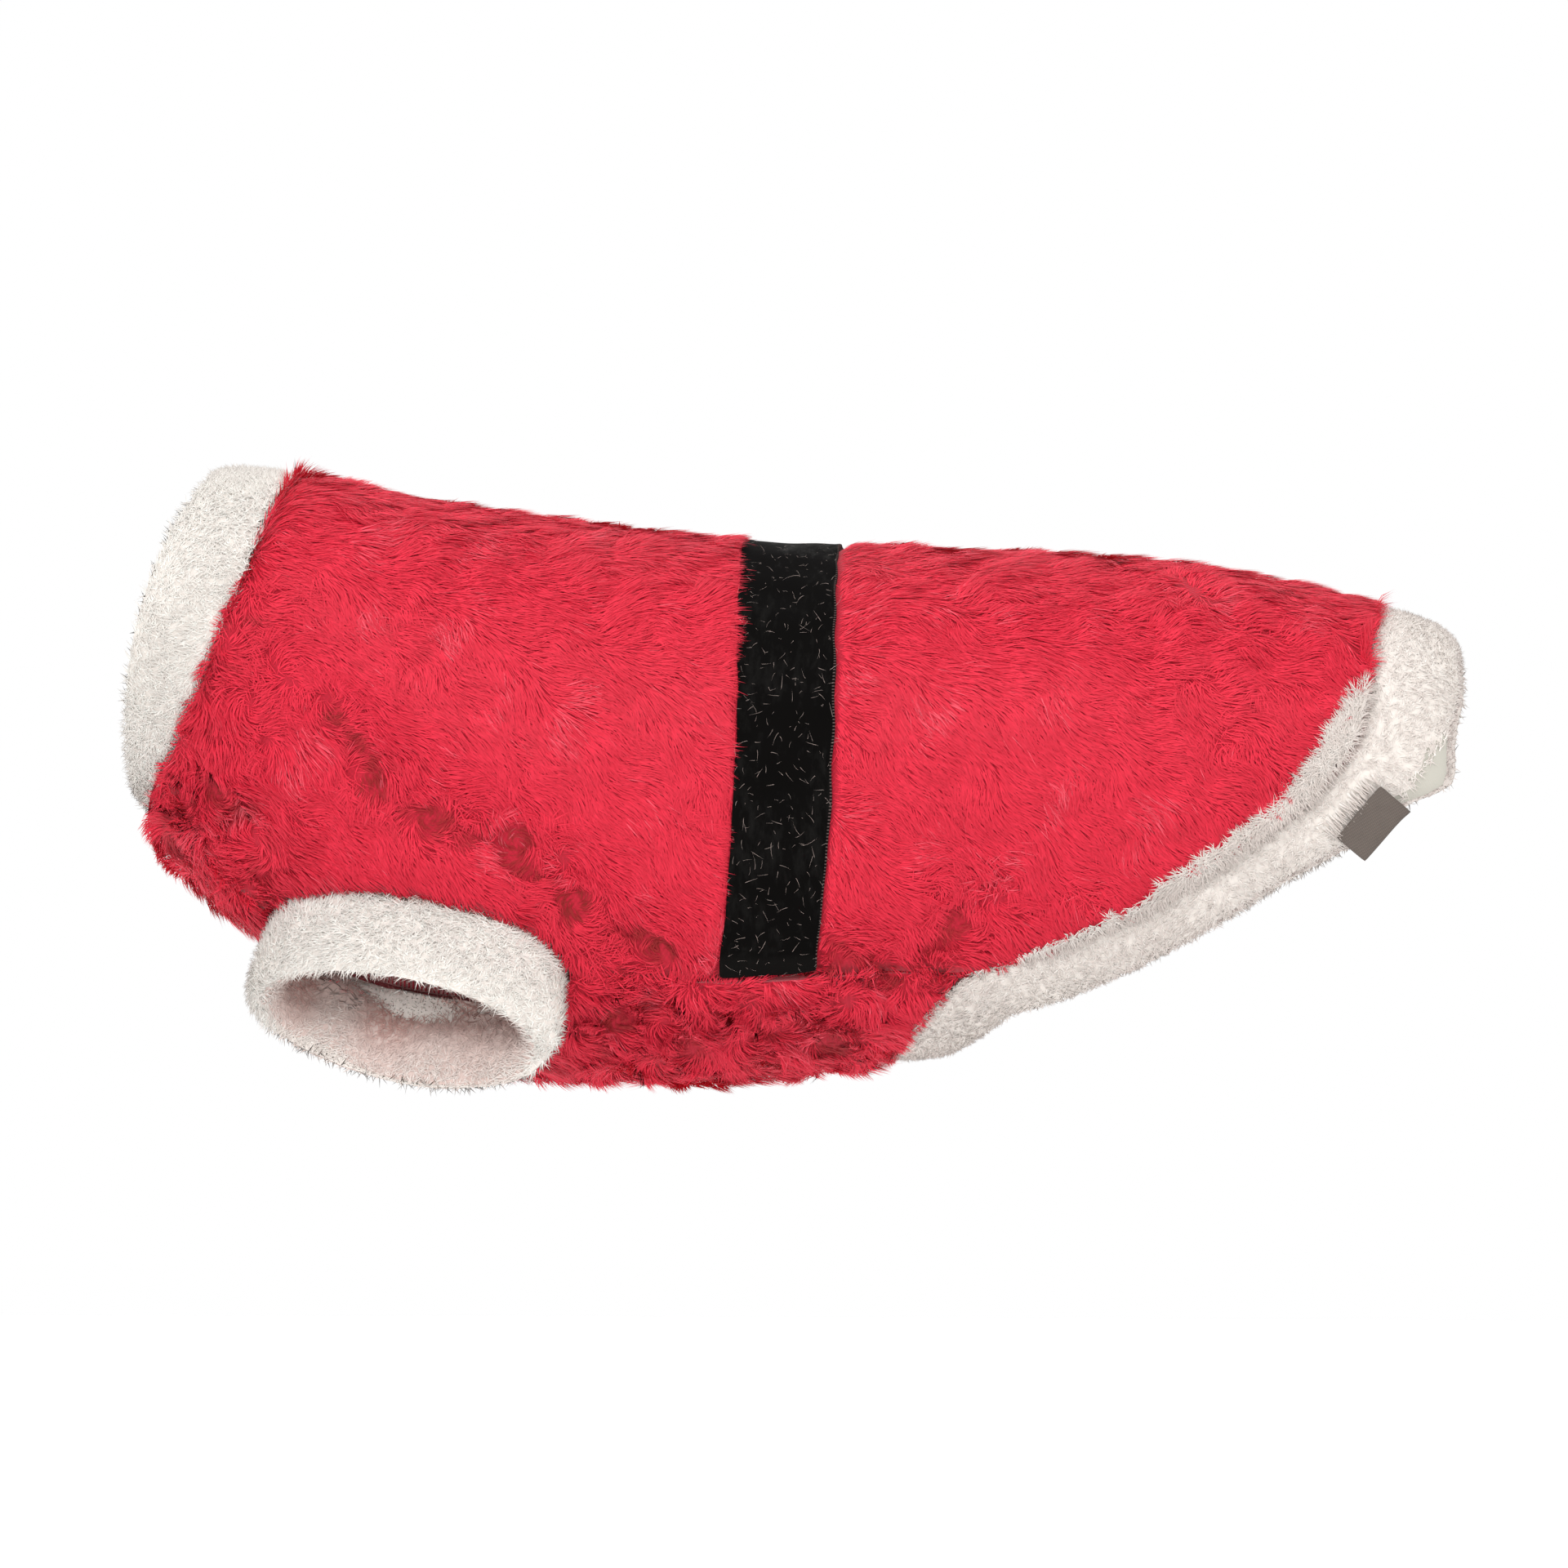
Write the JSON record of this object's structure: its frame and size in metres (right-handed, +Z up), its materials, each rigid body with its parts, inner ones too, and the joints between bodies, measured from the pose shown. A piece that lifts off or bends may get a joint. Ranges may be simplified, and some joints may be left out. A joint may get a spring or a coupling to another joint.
{
  "type": "dog santa coat",
  "caption": "Pullover coat for a small dog in curly red plush, with a white plush collar, leg cuffs and hem and a black ribbon belt over the back.",
  "frame": {"origin": "on the inside of the back panel at the top, under the belt, where the coat rests on the dog's back", "axes": "+X towards the dog's tail, +Y to the dog's right, +Z up"},
  "size_m": [0.3816, 0.1252, 0.182],
  "materials": {
    "red_plush": "long curly pile in rosettes, bright red",
    "white_plush": "straight soft pile, warm white",
    "black_velvet": "black velvet ribbon with a ribbed edge",
    "woven_label": "plain dark taupe woven ribbon"
  },
  "bodies": {
    "root": {"back_panel": "red_plush", "belly_panel": "red_plush", "collar": "white_plush", "leg_cuff_left": "white_plush", "leg_cuff_right": "white_plush", "hem_trim": "white_plush", "belt": "black_velvet", "label": "woven_label"}
  },
  "joints": []
}
